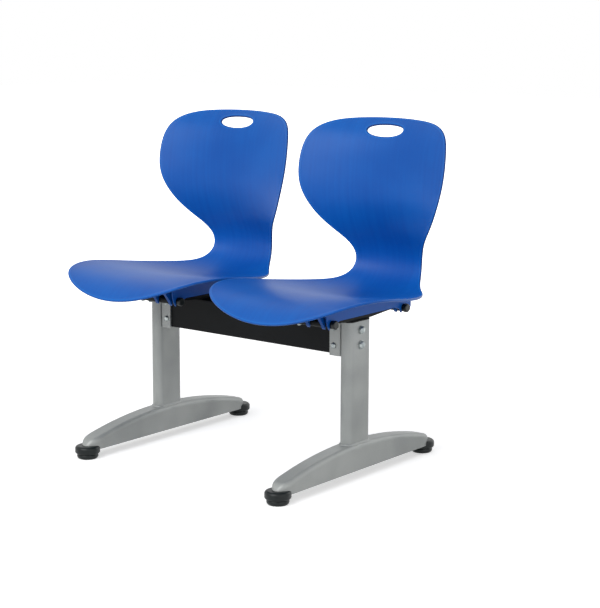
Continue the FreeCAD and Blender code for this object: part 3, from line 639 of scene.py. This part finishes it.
# The weld round each column where it goes into the foot, in millimetres. The crown is the arc of the foot's
# top, and the edge is the rounding along it.
weldShape = {"legX": {"left": -290.0, "right": 290.0}, "halfWidth": 16.5, "halfDepth": 41.0, "corner": 15.0,
             "leg": 3.2, "fullness": 1.5, "inside": 0.5, "ripple": 1.7, "rippleDepth": 0.07, "step": 0.28,
             "turnSteps": 720, "sectionRows": 9, "crownTop": 81.0, "crownRadius": 1080.0, "flatHalf": 14.0,
             "edgeRadius": 11.0, "smoothAngle": 50.0}


# Height of the foot's top: crown arc along y, less the rounding across x
def footTop(shape, x, y):
    over = (np.abs(x) - shape["flatHalf"]).clip(0)
    arc = shape["crownTop"] - shape["crownRadius"] + np.sqrt(shape["crownRadius"] ** 2 - y ** 2)
    return arc - shape["edgeRadius"] + np.sqrt(shape["edgeRadius"] ** 2 - over ** 2)


# Path: the column's rounded outline at even steps. Section at angle b: out leg * cos(b)^fullness, up
# leg * sin(b)^fullness above the foot, closed inside the metal. Small ripples along the path swell it.
def weldRing(shape):
    corner = shape["corner"]
    centreX, centreY = shape["halfWidth"] - corner, shape["halfDepth"] - corner
    angle = np.linspace(0, 2 * math.pi, shape["turnSteps"] + 1)[:-1]
    normal = np.stack([np.cos(angle), np.sin(angle)], 1)
    line = corner * normal + np.sign(normal) * (centreX, centreY)
    line = np.vstack([line, line[:1]])
    normal = np.vstack([normal, normal[:1]])
    run = np.concatenate([[0.0], np.cumsum(np.linalg.norm(np.diff(line, axis=0), axis=1))])
    even = np.linspace(0, run[-1], round(run[-1] / shape["step"]))
    path, lean = (np.stack([np.interp(even, run, part[:, k]) for k in (0, 1)], 1) for part in (line, normal))
    turns = round(run[-1] / shape["ripple"])
    swell = 1 + shape["rippleDepth"] * np.abs(np.sin(math.pi * turns * even / run[-1]))
    b = np.linspace(0, math.pi / 2, shape["sectionRows"])
    out = shape["leg"] * np.cos(b).clip(0) ** shape["fullness"]
    rise = shape["leg"] * np.sin(b) ** shape["fullness"]
    inside = shape["inside"]
    out = np.concatenate([out, [-inside, -inside, shape["leg"]]])
    rise = np.concatenate([rise, [shape["leg"], -inside, -inside]])
    out, rise = np.append(out, out[0]), np.append(rise, rise[0])
    grow = np.where((out > 0) & (rise > 0), 1.0, 0.0) * (swell[:, None] - 1) + 1
    xy = path[:, None] + lean[:, None] * (out * grow)[..., None]
    z = footTop(shape, xy[..., 0], xy[..., 1]) + rise * grow
    return np.concatenate([xy, z[..., None]], -1)


def makeWelds():
    net = Net()
    points = weldRing(weldShape)
    net.grid(points, 0.0, points[..., :2], False)
    for side, legX in weldShape["legX"].items():
        mesh = newMesh("weld", net.points[0] + (legX, 0, 0), net.faces)
        makePiece("weld_" + side, "frame_grey", "frame", mesh, weldShape["smoothAngle"])


makeWelds()
print("welds made")


# The floor, in metres. lift and farLift are how strongly it glows to the camera near the bench and far off.
floor = {"size": 30.0, "tone": (0.9, 0.9, 0.9, 1.0), "hiddenTone": (0.42, 0.42, 0.42, 1.0), "lift": 0.5,
         "farLift": 1.0, "near": 1.0, "far": 3.0}


# 1 for rays from the camera, a gloss or a glass, 0 for matt bounces
def seenRays(graph):
    eye, glossy, through = (graph.node("ShaderNodeLightPath", out=f"Is {kind} Ray")
                            for kind in ("Camera", "Glossy", "Transmission"))
    return (eye + glossy + through) > 0.5


# The camera and mirrors see a floor that glows a little, and fully far off. Matt bounces see a darker one.
# From below it is clear, so that the underside can be looked at.
def makeFloor():
    material, graph = newMaterial("paleFloor")
    seen = seenRays(graph)
    away = graph.node("ShaderNodeVectorMath", {"operation": "LENGTH"}, {0: graph.place()}, out="Value")
    far = away.step(floor["near"], floor["far"])
    tone = graph.blend(seen, floor["hiddenTone"], floor["tone"])
    matt = graph.node("ShaderNodeBsdfDiffuse", {}, {"Color": tone})
    glow = graph.node("ShaderNodeEmission", {}, {"Strength": seen * (floor["lift"] + far * floor["farLift"])})
    both = graph.node("ShaderNodeAddShader", {}, {0: matt, 1: glow})
    below = graph.node("ShaderNodeNewGeometry", out="Backfacing")
    clear = graph.node("ShaderNodeBsdfTransparent")
    shown = graph.node("ShaderNodeMixShader", {}, {0: below, 1: both, 2: clear})
    graph.node("ShaderNodeOutputMaterial", {}, {"Surface": shown})
    half = floor["size"] / 2
    mesh = bpy.data.meshes.new("floor")
    corners = [(-half, -half, 0), (half, -half, 0), (half, half, 0), (-half, half, 0)]
    mesh.from_pydata(corners, [], [(0, 1, 2, 3)])
    mesh.materials.append(material)
    plane = bpy.data.objects.new("floor", mesh)
    bpy.context.scene.collection.objects.link(plane)


# Where each lamp hangs and its size, in metres, and its power in watts. All point at the middle of the bench.
lampAim = (0, 0, 0.4)
lamps = {"overhead": {"at": (0.2, 0.9, 3.4), "size": (2.6, 2.6), "power": 5.0},
         "key": {"at": (-0.1, -3.0, 2.3), "size": (3.0, 3.0), "power": 86.0},
         "fill": {"at": (3.2, -0.8, 0.9), "size": (2.8, 2.8), "power": 19.0},
         "rear": {"at": (1.2, 3.2, 1.6), "size": (3.0, 2.4), "power": 20.0}}
sky = {"tone": (1.0, 1.0, 1.0, 1.0), "strength": 0.45}


def makeLight():
    for name, lamp in lamps.items():
        data = bpy.data.lights.new(name, "AREA")
        data.shape = "ELLIPSE"
        data.size, data.size_y = lamp["size"]
        data.energy = lamp["power"]
        light = bpy.data.objects.new(name, data)
        light.location = lamp["at"]
        aim = Vector(lampAim) - light.location
        light.rotation_euler = aim.to_track_quat("-Z", "Y").to_euler()
        bpy.context.scene.collection.objects.link(light)
    world = bpy.data.worlds.new("studio")
    bpy.context.scene.world = world
    world.use_nodes = True
    graph = Graph(world.node_tree)
    strength = sky["strength"] + seenRays(graph) * (1.0 - sky["strength"])
    shader = graph.node("ShaderNodeBackground", {}, {"Color": sky["tone"], "Strength": strength})
    graph.node("ShaderNodeOutputWorld", {}, {"Surface": shader})


makeFloor()
makeLight()
bpy.context.scene.view_settings.view_transform = "Standard"
print("floor, lamps and camera set")
